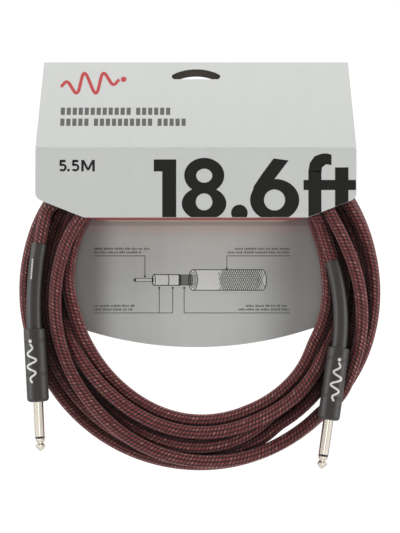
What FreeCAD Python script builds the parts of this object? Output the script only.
"""Braided instrument cable with two 6.35 mm plugs, coiled and held by a folded hang card.

Frame: X to the right, +Z up, the front faces -Y. The origin is the centre of the hang hole, in the
plane of the card's back face. Everything lies in front of that plane. Units are millimetres.
"""
import FreeCAD, Part
import Sketcher
import math
import os

DIMENSIONS = {
    # cord and the loop it is coiled into
    "cord_radius": 4.0,
    "cord_length": 5500.0,
    "loop_centre_x": 2.5,
    "loop_centre_z": 135.65,
    "loop_radius": 112.75,
    "loop_shoulder": 88.5,
    "loop_top": 35.0,
    "eye_centre_x": 2.5,
    "eye_centre_z": 131.0,
    "eye_radius": 79.5,
    "eye_shoulder": 52.6,
    "eye_top": 66.0,
    "coil_depth": 24.1,
    "coil_middle": 12.95,
    "coil_edge_round": 7.0,
    "lead_length": 22.0,
    # plug contacts, measured along the plug from the front face of the handle
    "contact_radius": 3.175,
    "neck_radius": 2.9,
    "neck_end": 0.2,
    "sleeve_end": 21.4,
    "ring_end": 22.7,
    "ring_radius": 2.98,
    "rod_radius": 1.15,
    "rod_bore": 1.2,
    "rod_end": 25.35,
    "tip_bore_end": 25.4,
    "tip_collar_radius": 2.9,
    "tip_collar_end": 23.7,
    "waist_radius": 2.05,
    "waist_start": 24.8,
    "waist_end": 25.5,
    "ball_radius": 3.0,
    "ball_start": 26.5,
    "ball_end": 27.6,
    "nose_radius": 0.9,
    "nose_start": 30.1,
    "tip_end": 30.4,
    # parts inside the handle, measured back from its front face
    "sleeve_bore": 2.0,
    "insulator_radius": 1.95,
    "flange_radius": 5.8,
    "flange_front": 1.05,
    "flange_back": 3.0,
    "thread_radius": 5.25,
    "thread_back": 11.0,
    "washer_radius": 4.2,
    "washer_back": 12.2,
    "lug_radius": 3.8,
    "lug_back": 13.0,
    "lug_tab_back": 20.0,
    "lug_tab_width": 2.4,
    "lug_tab_low": 0.65,
    "lug_tab_thick": 1.0,
    "clamp_inner": 4.3,
    "clamp_outer": 4.8,
    "clamp_back": 38.0,
    "liner_inner": 4.95,
    "liner_outer": 5.25,
    "liner_front": 11.3,
    "liner_back": 41.8,
    "shell_inner": 5.35,
    "shell_outer": 6.1,
    "shell_wall": 42.0,
    "shell_back": 43.6,
    "shell_rear_hole": 4.2,
    "conductor_radius": 0.6,
    "conductor_front": 16.0,
    "dielectric_inner": 0.65,
    "dielectric_outer": 1.7,
    "dielectric_front": 25.0,
    "shield_inner": 1.75,
    "shield_outer": 2.6,
    "shield_front": 31.0,
    "jacket_front": 36.0,
    # handle and strain relief
    "handle_length": 45.0,
    "handle_outer": 6.75,
    "handle_inner": 6.15,
    "handle_lip": 1.0,
    "handle_front_hole": 3.5,
    "handle_rear_hole": 4.8,
    "handle_front_round": 2.2,
    "handle_rear_round": 0.9,
    "relief_start": 43.9,
    "relief_inner": 4.05,
    "relief_outer": 4.7,
    # where each plug lies; lean is from straight down, bow is the bend of its strain relief
    "left_x": -97.3,
    "left_y": -22.2,
    "left_z": -204.0,
    "left_lean": 3.2,
    "left_dip": 1.5,
    "left_bow_radius": 239.0,
    "left_bow_turn": 12.9,
    "right_x": 81.6,
    "right_y": -23.4,
    "right_z": -215.1,
    "right_lean": -8.6,
    "right_dip": 3.2,
    "right_bow_radius": 128.0,
    "right_bow_turn": 24.7,
    "plug_clearance": 0.35,
    # folded card
    "card_thickness": 0.6,
    "card_top": 7.9,
    "card_top_half_width": 95.8,
    "crease_z": 48.2,
    "crease_half_width": 98.7,
    "sleeve_depth": 24.7,
    "back_side_half_width": 92.0,
    "back_side_z": 82.0,
    "back_foot_half_width": 84.0,
    "back_foot_radius": 232.0,
    "back_foot_low": 171.6,
    "slot_length": 30.4,
    "slot_height": 7.4,
    "slot_arch_radius": 30.9,
    "slot_end_radius": 2.05,
    "back_slot_drop": 4.6,
    "front_side_z": 78.8,
    "front_fold_z": 90.6,
    "front_fold_half_width": 68.8,
    "front_corner_round": 5.0,
    "header_height": 60.85,
    "header_hole_drop": 8.6,
    "front_top_z": 48.6,
    "flap_drop": 1.9,
    "flap_length": 23.8,
    "flap_fold_gap": 0.05,
    "flap_tip_half_width": 53.0,
}

doc = FreeCAD.newDocument("instrument_cable")
sheet = doc.addObject("Spreadsheet::Sheet", "sheet")
for row_number, (alias, number) in enumerate(DIMENSIONS.items(), start=1):
    sheet.set(f"A{row_number}", str(number))
    sheet.setAlias(f"A{row_number}", alias)
doc.recompute()

subparts = []


def value(name):
    """The number that a dimension holds; a leading minus sign turns it round."""
    return -DIMENSIONS[name[1:]] if name.startswith("-") else DIMENSIONS[name]


def bound(name):
    """The expression that ties a property to a dimension of the sheet."""
    return f"-sheet.{name[1:]}" if name.startswith("-") else f"sheet.{name}"


def finished(piece, label, placement=None):
    """Name a sub-part, put it in place and keep it for the export."""
    piece.Label = label
    if placement is not None:
        piece.Placement = placement
    subparts.append(piece)
    return piece


def pin_point(sketch, element, end, x, y):
    """Hold a point of a sketch at two dimensions of the sheet; 0 means on the axis."""
    for kind, name, axis in (("DistanceX", x, -2), ("DistanceY", y, -1)):
        if name == 0:
            sketch.addConstraint(Sketcher.Constraint("PointOnObject", element, end, axis))
        elif value(name) > 0:
            at = sketch.addConstraint(Sketcher.Constraint(kind, -1, 1, element, end, value(name)))
            sketch.setExpression(f"Constraints[{at}]", bound(name))
        else:
            flipped = name[1:] if name.startswith("-") else f"-{name}"
            at = sketch.addConstraint(Sketcher.Constraint(kind, element, end, -1, 1, value(flipped)))
            sketch.setExpression(f"Constraints[{at}]", bound(flipped))


def draw_polygon(sketch, corners):
    """Straight edges through corners, each corner tied to the sheet."""
    spots = [FreeCAD.Vector(*(0.0 if n == 0 else value(n) for n in corner), 0) for corner in corners]
    first = sketch.GeometryCount
    count = len(corners)
    for at in range(count):
        sketch.addGeometry(Part.LineSegment(spots[at], spots[(at + 1) % count]))
    for at in range(count):
        following = first + (at + 1) % count
        sketch.addConstraint(Sketcher.Constraint("Coincident", first + at, 2, following, 1))
        pin_point(sketch, first + at, 1, *corners[at])


def draw_loop(sketch, centre_x, centre_z, radius, shoulder, top):
    """A round loop with a flat top: one large arc, two shoulder arcs and a level line."""
    x, z, big, small = value(centre_x), -value(centre_z), value(radius), value(shoulder)
    rise = -value(top) - z
    turn = math.asin((rise - small) / (big - small))
    side = (big - small) * math.cos(turn)
    high = z + (big - small) * math.sin(turn)
    up = FreeCAD.Vector(0, 0, 1)
    arcs = (
        (FreeCAD.Vector(x, z, 0), big, math.pi - turn, 2 * math.pi + turn),
        (FreeCAD.Vector(x + side, high, 0), small, turn, math.pi / 2),
        (FreeCAD.Vector(x - side, high, 0), small, math.pi / 2, math.pi - turn),
    )
    first = sketch.GeometryCount
    for centre, arc_radius, start, stop in arcs:
        sketch.addGeometry(Part.ArcOfCircle(Part.Circle(centre, up, arc_radius), start, stop))
    level = first + 3
    ends = (FreeCAD.Vector(x + side, z + rise, 0), FreeCAD.Vector(x - side, z + rise, 0))
    sketch.addGeometry(Part.LineSegment(*ends))
    for a, end_a, b, end_b in ((0, 2, 1, 1), (1, 2, 3, 1), (3, 2, 2, 1), (2, 2, 0, 1)):
        sketch.addConstraint(Sketcher.Constraint("Tangent", first + a, end_a, first + b, end_b))
    for arc, name in ((first, radius), (first + 1, shoulder)):
        at = sketch.addConstraint(Sketcher.Constraint("Radius", arc, value(name)))
        sketch.setExpression(f"Constraints[{at}]", bound(name))
    sketch.addConstraint(Sketcher.Constraint("Equal", first + 1, first + 2))
    pin_point(sketch, first, 3, centre_x, f"-{centre_z}")
    at = sketch.addConstraint(Sketcher.Constraint("DistanceY", level, 1, -1, 1, value(top)))
    sketch.setExpression(f"Constraints[{at}]", bound(top))
    sketch.addConstraint(Sketcher.Constraint("Horizontal", level))


def new_body(name):
    return doc.addObject("PartDesign::Body", name)


def new_sketch(body, role, name):
    """An empty sketch on one of the body's own origin planes."""
    sketch = body.newObject("Sketcher::SketchObject", name)
    plane = next(p for p in body.Origin.OriginFeatures if p.Role == role)
    sketch.AttachmentSupport = [(plane, "")]
    sketch.MapMode = "FlatFace"
    return sketch


def round_edges(body, name, size, wanted):
    """Fillet the edges of the body's tip that the test picks."""
    doc.recompute()
    tip = body.Tip
    edges = [f"Edge{n}" for n, edge in enumerate(tip.Shape.Edges, start=1) if wanted(edge)]
    fillet = body.newObject("PartDesign::Fillet", name)
    fillet.Base = (tip, edges)
    fillet.setExpression("Radius", bound(size))
    return fillet


def turned(name, corners):
    """A body turned about Z from a half profile of (radius, height) corners."""
    body = new_body(name)
    sketch = new_sketch(body, "XZ_Plane", f"{name}_profile")
    draw_polygon(sketch, corners)
    revolution = body.newObject("PartDesign::Revolution", f"{name}_turning")
    revolution.Profile = sketch
    revolution.ReferenceAxis = (sketch, ["V_Axis"])
    revolution.Angle = 360.0
    return body


def rod(name, radius, low, high):
    """A cylinder on Z between two heights of the sheet."""
    piece = doc.addObject("Part::Cylinder", name)
    piece.setExpression("Radius", bound(radius))
    piece.setExpression("Height", f"{bound(high)} - ({bound(low)})")
    piece.setExpression("Placement.Base.z", bound(low))
    return piece


def placed_rod(label, radius, low, high, place):
    """A cylinder that is a sub-part of its own, in the frame of its plug."""
    piece = doc.addObject("Part::Cylinder", f"{label}_bar")
    piece.setExpression("Radius", bound(radius))
    piece.setExpression("Height", f"{bound(high)} - ({bound(low)})")
    foot = FreeCAD.Placement(FreeCAD.Vector(0, 0, value(low)), FreeCAD.Rotation())
    finished(piece, label, place.multiply(foot))


def cut(name, base, tool):
    piece = doc.addObject("Part::Cut", name)
    piece.Base = base
    piece.Tool = tool
    return piece


def fuse(name, *pieces):
    piece = doc.addObject("Part::MultiFuse", name)
    piece.Shapes = list(pieces)
    return piece


def tube(name, outer, inner, low, high):
    """A cylinder with a bore along its whole length."""
    bore = rod(f"{name}_bore", inner, low, high)
    return cut(name, rod(f"{name}_round", outer, low, high), bore)


def bowed(name, side, radius):
    """A round bar on the bow of a plug's strain relief, from where the relief starts."""
    bar = doc.addObject("Part::Torus", name)
    bar.setExpression("Radius1", bound(f"{side}_bow_radius"))
    bar.setExpression("Radius2", radius)
    bar.setExpression("Angle3", bound(f"{side}_bow_turn"))
    bar.Placement = bow_frame(side)
    return bar


def bow_frame(side):
    """The bow's centre lies beside the plug's axis, towards the middle of the loop."""
    inward = 1 if side == "left" else -1
    centre = FreeCAD.Vector(inward * value(f"{side}_bow_radius"), 0, -value("relief_start"))
    towards_axis = FreeCAD.Vector(-inward, 0, 0)
    backwards = FreeCAD.Vector(0, 0, -1)
    normal = towards_axis.cross(backwards)
    return FreeCAD.Placement(centre, FreeCAD.Rotation(towards_axis, backwards, normal, "XYZ"))


def bow_end(side):
    """The frame of the relief's mouth in the plug's own frame, Z pointing along the cord."""
    start = bow_frame(side)
    turn = math.radians(value(f"{side}_bow_turn"))
    radius = value(f"{side}_bow_radius")
    flat = FreeCAD.Vector(math.cos(turn), math.sin(turn), 0)
    along = FreeCAD.Vector(-math.sin(turn), math.cos(turn), 0)
    mouth = start.multVec(flat * radius)
    heading = start.Rotation.multVec(along)
    front = FreeCAD.Vector(0, 1, 0)
    return FreeCAD.Placement(mouth, FreeCAD.Rotation(front.cross(heading), front, heading, "ZYX"))


def plug_frame(side):
    """Origin on the handle's front face, local Z out past the tip, local Y to the front."""
    lean = math.radians(value(f"{side}_lean"))
    dip = math.radians(value(f"{side}_dip"))
    out = FreeCAD.Vector(math.sin(lean) * math.cos(dip), -math.sin(dip), -math.cos(lean) * math.cos(dip))
    spot = FreeCAD.Vector(*(value(f"{side}_{axis}") for axis in "xyz"))
    across = FreeCAD.Vector(math.cos(lean), 0, math.sin(lean))
    return FreeCAD.Placement(spot, FreeCAD.Rotation(across, out.cross(across), out, "ZXY"))


def make_contacts(side, place):
    """Tip, rod, sleeve and the insulators between them."""
    tip = turned(f"{side}_tip", [
        ("rod_bore", "ring_end"), ("tip_collar_radius", "ring_end"),
        ("tip_collar_radius", "tip_collar_end"), ("waist_radius", "waist_start"),
        ("waist_radius", "waist_end"), ("ball_radius", "ball_start"), ("ball_radius", "ball_end"),
        ("nose_radius", "nose_start"), (0, "tip_end"), (0, "tip_bore_end"),
        ("rod_bore", "tip_bore_end")])
    finished(tip, f"{side}_tip_contact", place)
    placed_rod(f"{side}_centre_rod", "rod_radius", "-lug_back", "rod_end", place)
    insulator = turned(f"{side}_insulator", [
        ("rod_bore", "-thread_back"), ("insulator_radius", "-thread_back"),
        ("insulator_radius", "sleeve_end"), ("ring_radius", "sleeve_end"),
        ("ring_radius", "ring_end"), ("rod_bore", "ring_end")])
    finished(insulator, f"{side}_tip_insulator", place)
    sleeve = turned(f"{side}_sleeve", [
        ("sleeve_bore", "-thread_back"), ("thread_radius", "-thread_back"),
        ("thread_radius", "-flange_back"), ("flange_radius", "-flange_back"),
        ("flange_radius", "-flange_front"), ("neck_radius", "-flange_front"),
        ("neck_radius", "neck_end"), ("contact_radius", "neck_end"),
        ("contact_radius", "sleeve_end"), ("sleeve_bore", "sleeve_end")])
    finished(sleeve, f"{side}_sleeve_contact", place)


def make_inner_parts(side, place):
    """Washer, solder lug, clamp, liner, shell and the stripped end of the cable."""
    washer = tube(f"{side}_washer", "washer_radius", "rod_bore", "-washer_back", "-thread_back")
    finished(washer, f"{side}_rear_insulator", place)
    ring = tube(f"{side}_lug_ring", "lug_radius", "rod_bore", "-lug_back", "-washer_back")
    tab = doc.addObject("Part::Box", f"{side}_lug_tab")
    tab.setExpression("Length", bound("lug_tab_width"))
    tab.setExpression("Width", bound("lug_tab_thick"))
    tab.setExpression("Height", "sheet.lug_tab_back - sheet.lug_back")
    tab.setExpression("Placement.Base.x", "-sheet.lug_tab_width / 2")
    tab.setExpression("Placement.Base.y", bound("lug_tab_low"))
    tab.setExpression("Placement.Base.z", bound("-lug_tab_back"))
    finished(fuse(f"{side}_lug", ring, tab), f"{side}_tip_lug", place)
    clamp_tube = tube(f"{side}_clamp_tube", "clamp_outer", "clamp_inner", "-clamp_back", "-thread_back")
    upper_half = doc.addObject("Part::Box", f"{side}_clamp_open_side")
    upper_half.setExpression("Length", "2 * sheet.thread_radius")
    upper_half.setExpression("Width", bound("thread_radius"))
    upper_half.setExpression("Height", bound("clamp_back"))
    upper_half.setExpression("Placement.Base.x", bound("-thread_radius"))
    upper_half.setExpression("Placement.Base.z", bound("-clamp_back"))
    finished(cut(f"{side}_clamp", clamp_tube, upper_half), f"{side}_ground_clamp", place)
    liner = tube(f"{side}_liner", "liner_outer", "liner_inner", "-liner_back", "-liner_front")
    finished(liner, f"{side}_inner_liner", place)
    shell = turned(f"{side}_barrel", [
        ("shell_rear_hole", "-shell_back"), ("shell_outer", "-shell_back"),
        ("shell_outer", "-flange_back"), ("shell_inner", "-flange_back"),
        ("shell_inner", "-shell_wall"), ("shell_rear_hole", "-shell_wall")])
    finished(shell, f"{side}_shell", place)
    shield = tube(f"{side}_braid", "shield_outer", "shield_inner", "-jacket_front", "-shield_front")
    finished(shield, f"{side}_shield", place)
    core = tube(f"{side}_core", "dielectric_outer", "dielectric_inner",
                "-jacket_front", "-dielectric_front")
    finished(core, f"{side}_dielectric", place)
    placed_rod(f"{side}_centre_conductor", "conductor_radius",
               "-jacket_front", "-conductor_front", place)


def make_handle(side, place):
    """Heat-shrunk handle, strain relief and the jacketed cable inside both."""
    handle = turned(f"{side}_grip", [
        ("handle_rear_hole", "-handle_length"), ("handle_outer", "-handle_length"),
        ("handle_outer", 0), ("handle_front_hole", 0), ("handle_front_hole", "-handle_lip"),
        ("handle_inner", "-handle_lip"), ("handle_inner", "-relief_start"),
        ("handle_rear_hole", "-relief_start")])
    ends = ((0.0, "handle_front_round"), (-value("handle_length"), "handle_rear_round"))
    for height, size in ends:
        def at_rim(edge, height=height):
            box = edge.BoundBox
            wide = abs(box.XMax - value("handle_outer")) < 1e-3
            return wide and abs(box.ZMin - height) < 1e-3 and abs(box.ZMax - height) < 1e-3
        round_edges(handle, f"{side}_{size}", size, at_rim)
    finished(handle, f"{side}_handle_sleeve", place)
    relief = cut(f"{side}_relief", bowed(f"{side}_relief_round", side, bound("relief_outer")),
                 bowed(f"{side}_relief_bore", side, bound("relief_inner")))
    finished(relief, f"{side}_strain_relief", place)
    straight = rod(f"{side}_jacket", "cord_radius", "-relief_start", "-jacket_front")
    bent = bowed(f"{side}_jacket_bend", side, bound("cord_radius"))
    finished(fuse(f"{side}_jacket_end", straight, bent), f"{side}_cable_end", place)


def make_lead(side, place):
    """The short straight stretch of cord between the relief's mouth and the coil."""
    lead = doc.addObject("Part::Cylinder", f"{side}_lead_cord")
    lead.setExpression("Radius", bound("cord_radius"))
    lead.setExpression("Height", bound("lead_length"))
    finished(lead, f"{side}_lead", place.multiply(bow_end(side)))


def open_slot(name, half_width, length, frame):
    """A box from a cylinder's axis to the front, so a groove is open to the front."""
    box = doc.addObject("Part::Box", name)
    box.setExpression("Length", f"2 * ({half_width})")
    box.setExpression("Width", bound("coil_depth"))
    box.setExpression("Height", length)
    half = box_size(half_width)
    corner = FreeCAD.Vector(-half, 0, 0)
    box.Placement = frame.multiply(FreeCAD.Placement(corner, FreeCAD.Rotation()))
    return box


def box_size(expression):
    """The number of a short sum of sheet dimensions."""
    return sum(value(term.strip().replace("sheet.", "")) for term in expression.split("+"))


def groove(side, place):
    """The valley between the turns in which a plug and its lead lie."""
    pieces = []
    runs = (
        ("handle", "sheet.handle_outer + sheet.plug_clearance", "handle_length", 0.0),
        ("metal", "sheet.contact_radius + sheet.plug_clearance + sheet.handle_lip",
         "handle_length", -value("handle_length")),
    )
    for name, half_width, length, low in runs:
        frame = FreeCAD.Placement(FreeCAD.Vector(0, 0, -value("handle_length") - low),
                                  FreeCAD.Rotation())
        round_part = doc.addObject("Part::Cylinder", f"{side}_{name}_groove")
        round_part.setExpression("Radius", half_width)
        round_part.setExpression("Height", bound(length))
        round_part.Placement = place.multiply(frame)
        pieces.append(round_part)
        pieces.append(open_slot(f"{side}_{name}_slot", half_width, bound(length), place.multiply(frame)))
    relief_half = "sheet.relief_outer + sheet.plug_clearance"
    bar = bowed(f"{side}_relief_groove", side, relief_half)
    bar.Placement = place.multiply(bar.Placement)
    pieces.append(bar)
    rings = []
    for name, sign in (("outer", "+"), ("inner", "-")):
        disc = doc.addObject("Part::Cylinder", f"{side}_relief_slot_{name}")
        disc.setExpression("Radius", f"sheet.{side}_bow_radius {sign} ({relief_half})")
        disc.setExpression("Height", bound("coil_depth"))
        disc.setExpression("Angle", bound(f"{side}_bow_turn"))
        rings.append(disc)
    slot = cut(f"{side}_relief_slot", *rings)
    frame = bow_frame(side)
    if frame.Rotation.multVec(FreeCAD.Vector(0, 0, 1)).y < 0:
        down = FreeCAD.Vector(0, 0, -value("coil_depth"))
        frame = frame.multiply(FreeCAD.Placement(down, FreeCAD.Rotation()))
    slot.Placement = place.multiply(frame)
    pieces.append(slot)
    lead_half = "sheet.cord_radius + sheet.plug_clearance"
    frame = place.multiply(bow_end(side))
    lead = doc.addObject("Part::Cylinder", f"{side}_lead_groove")
    lead.setExpression("Radius", lead_half)
    lead.setExpression("Height", bound("lead_length"))
    lead.Placement = frame
    pieces.append(lead)
    return pieces


def make_coil(places):
    """The outer shape of all the turns together, with valleys for the plugs."""
    body = new_body("coil_ring")
    sketch = new_sketch(body, "XZ_Plane", "coil_outline")
    draw_loop(sketch, "loop_centre_x", "loop_centre_z", "loop_radius", "loop_shoulder", "loop_top")
    draw_loop(sketch, "eye_centre_x", "eye_centre_z", "eye_radius", "eye_shoulder", "eye_top")
    pad = body.newObject("PartDesign::Pad", "coil_pad")
    pad.Profile = sketch
    pad.setExpression("Length", bound("coil_depth"))
    pad.Midplane = True
    round_edges(body, "coil_rounding", "coil_edge_round",
                lambda edge: edge.BoundBox.YLength < 1e-3)
    body.Placement.Base.y = -value("coil_middle")
    wedge = doc.addObject("Part::Box", "header_room")
    wedge.setExpression("Length", "2 * sheet.loop_radius")
    wedge.setExpression("Width", "2 * sheet.coil_depth")
    wedge.setExpression("Height", "sheet.card_top + sheet.crease_z")
    lean = header_lean()
    foot = FreeCAD.Vector(-value("loop_radius") + value("loop_centre_x"),
                          -value("sleeve_depth") - value("card_thickness") + value("plug_clearance"),
                          -value("crease_z"))
    turn = FreeCAD.Placement(foot, FreeCAD.Rotation(FreeCAD.Vector(1, 0, 0), -math.degrees(lean)))
    outwards = FreeCAD.Placement(FreeCAD.Vector(0, -2 * value("coil_depth"), 0), FreeCAD.Rotation())
    wedge.Placement = turn.multiply(outwards)
    tools = [wedge]
    for side, place in places.items():
        tools += groove(side, place)
    room = fuse("coil_valleys", *tools)
    finished(cut("coil_solid", body, room), "cable_coil", None)


def header_lean():
    """The header leans forward from the top fold to the crease."""
    return math.atan2(value("sleeve_depth"), value("card_top") + value("crease_z"))


def plate(name, corners):
    """A sheet of card cut to an outline in the XZ plane, half its thickness each side of it."""
    body = new_body(name)
    sketch = new_sketch(body, "XZ_Plane", f"{name}_outline")
    draw_polygon(sketch, corners)
    pad = body.newObject("PartDesign::Pad", f"{name}_pad")
    pad.Profile = sketch
    pad.setExpression("Length", bound("card_thickness"))
    pad.Midplane = True
    return body


def across_card(name, radius, x, z):
    """A round tool through the card, along Y, with its centre at two expressions."""
    tool = doc.addObject("Part::Cylinder", name)
    tool.setExpression("Radius", radius)
    tool.setExpression("Height", "2 * sheet.coil_depth")
    tool.Placement = FreeCAD.Placement(FreeCAD.Vector(0, value("coil_depth"), 0),
                                       FreeCAD.Rotation(FreeCAD.Vector(1, 0, 0), 90))
    tool.setExpression("Placement.Base.x", x)
    tool.setExpression("Placement.Base.z", z)
    return tool


def hang_slot(name, drop):
    """The hang hole as a solid: level below, arched above, its centre a drop below the origin."""
    straight = "(sheet.slot_length / 2 - sheet.slot_end_radius)"
    block = doc.addObject("Part::Box", f"{name}_slot_block")
    block.setExpression("Length", f"2 * {straight}")
    block.setExpression("Width", "2 * sheet.coil_depth")
    block.setExpression("Height", bound("slot_height"))
    block.setExpression("Placement.Base.x", f"-{straight}")
    block.setExpression("Placement.Base.y", "-sheet.coil_depth")
    block.setExpression("Placement.Base.z", f"-sheet.slot_height / 2 - {drop}")
    arch = across_card(f"{name}_slot_arch", bound("slot_arch_radius"), "0",
                       f"sheet.slot_height / 2 - sheet.slot_arch_radius - {drop}")
    middle = doc.addObject("Part::Common", f"{name}_slot_middle")
    middle.Base = block
    middle.Tool = arch
    low = f"sheet.slot_end_radius - sheet.slot_height / 2 - {drop}"
    ends = [across_card(f"{name}_slot_{side}", bound("slot_end_radius"), f"{sign}{straight}", low)
            for side, sign in (("right", ""), ("left", "-"))]
    return fuse(f"{name}_slot", middle, *ends)


def make_back_panel():
    """The back of the sheet: its sides draw in towards a foot that is one shallow arc."""
    outline = plate("back_sheet", [
        ("card_top_half_width", "card_top"), ("-card_top_half_width", "card_top"),
        ("-back_side_half_width", "-back_side_z"), ("-back_foot_half_width", "-back_foot_low"),
        ("back_foot_half_width", "-back_foot_low"), ("back_side_half_width", "-back_side_z")])
    foot = across_card("back_foot", bound("back_foot_radius"), "0",
                       "sheet.back_foot_radius - sheet.back_foot_low")
    shaped = doc.addObject("Part::Common", "back_shape")
    shaped.Base = outline
    shaped.Tool = foot
    back = cut("back_panel", shaped, hang_slot("back", "sheet.back_slot_drop"))
    half_sheet = FreeCAD.Vector(0, -value("card_thickness") / 2, 0)
    finished(back, "card_back_panel", FreeCAD.Placement(half_sheet, FreeCAD.Rotation()))


def make_header():
    """The leaning panel between the top fold and the crease; its own origin is the top fold."""
    outline = plate("header_sheet", [
        ("card_top_half_width", 0), ("-card_top_half_width", 0),
        ("-crease_half_width", "-header_height"), ("crease_half_width", "-header_height")])
    header = cut("header_panel", outline, hang_slot("header", "sheet.header_hole_drop"))
    half_sheet = value("card_thickness") / 2
    spot = FreeCAD.Vector(0, -value("card_thickness") - half_sheet, value("card_top"))
    turn = FreeCAD.Rotation(FreeCAD.Vector(1, 0, 0), -math.degrees(header_lean()))
    finished(header, "card_header", FreeCAD.Placement(spot, turn))


def make_front_panel():
    """The panel that lifts, with slanted lower corners and the tuck flap behind its fold."""
    front = plate("front_sheet", [
        ("crease_half_width", "-front_top_z"), ("-crease_half_width", "-front_top_z"),
        ("-crease_half_width", "-front_side_z"), ("-front_fold_half_width", "-front_fold_z"),
        ("front_fold_half_width", "-front_fold_z"), ("crease_half_width", "-front_side_z")])

    def at_lower_corner(edge):
        box = edge.BoundBox
        corner = abs(box.ZMin + value("front_side_z")) < 1e-3 and box.ZLength < 1e-3
        return corner and box.XLength < 1e-3
    round_edges(front, "front_corners", "front_corner_round", at_lower_corner)
    middle_y = -value("sleeve_depth") - value("card_thickness") * 1.5
    finished(front, "card_front_panel",
             FreeCAD.Placement(FreeCAD.Vector(0, middle_y, 0), FreeCAD.Rotation()))
    flap = plate("flap_sheet", [
        ("front_fold_half_width", 0), ("-front_fold_half_width", 0),
        ("-flap_tip_half_width", "-flap_length"), ("flap_tip_half_width", "-flap_length")])
    slope = math.degrees(math.atan2(value("flap_drop"), value("flap_length")))
    fold_y = -value("sleeve_depth") - value("card_thickness") + value("flap_fold_gap")
    fold = FreeCAD.Vector(0, fold_y, -value("front_fold_z") + value("card_thickness") / 2)
    turn = FreeCAD.Rotation(FreeCAD.Vector(1, 0, 0), 90 - slope)
    finished(flap, "card_tuck_flap", FreeCAD.Placement(fold, turn))


def check_document():
    """Every object has to be up to date and every sub-part a valid solid."""
    doc.recompute()
    for thing in doc.Objects:
        if "Invalid" in thing.State or "Error" in thing.State:
            raise RuntimeError(f"{thing.Name} failed: {thing.State}")
    for piece in subparts:
        if piece.Shape.isNull() or not piece.Shape.isValid() or not piece.Shape.Solids:
            raise RuntimeError(f"{piece.Label} has no valid solid")


def print_cord_facts():
    """The bends of the cord where it isn't coiled, and the coil's volume for comparison."""
    section = math.pi * value("cord_radius") ** 2
    for side in ("left", "right"):
        lead = next(piece for piece in subparts if piece.Label == f"{side}_lead")
        ratio = lead.Shape.Volume / (section * value("lead_length"))
        print(f"{side} bow radius {value(side + '_bow_radius'):.0f} mm, lead volume ratio {ratio:.3f}")
    coil = next(piece for piece in subparts if piece.Label == "cable_coil")
    share = section * value("cord_length") / coil.Shape.Volume
    print(f"the cord fills {share:.2f} of the coil's solid")


def main():
    places = {side: plug_frame(side) for side in ("left", "right")}
    for side, place in places.items():
        make_contacts(side, place)
        make_inner_parts(side, place)
        make_handle(side, place)
        make_lead(side, place)
    make_coil(places)
    make_back_panel()
    make_header()
    make_front_panel()
    check_document()
    print_cord_facts()
    os.makedirs("parts", exist_ok=True)
    for piece in subparts:
        piece.Shape.exportStep(os.path.join("parts", f"{piece.Label}.step"))


main()
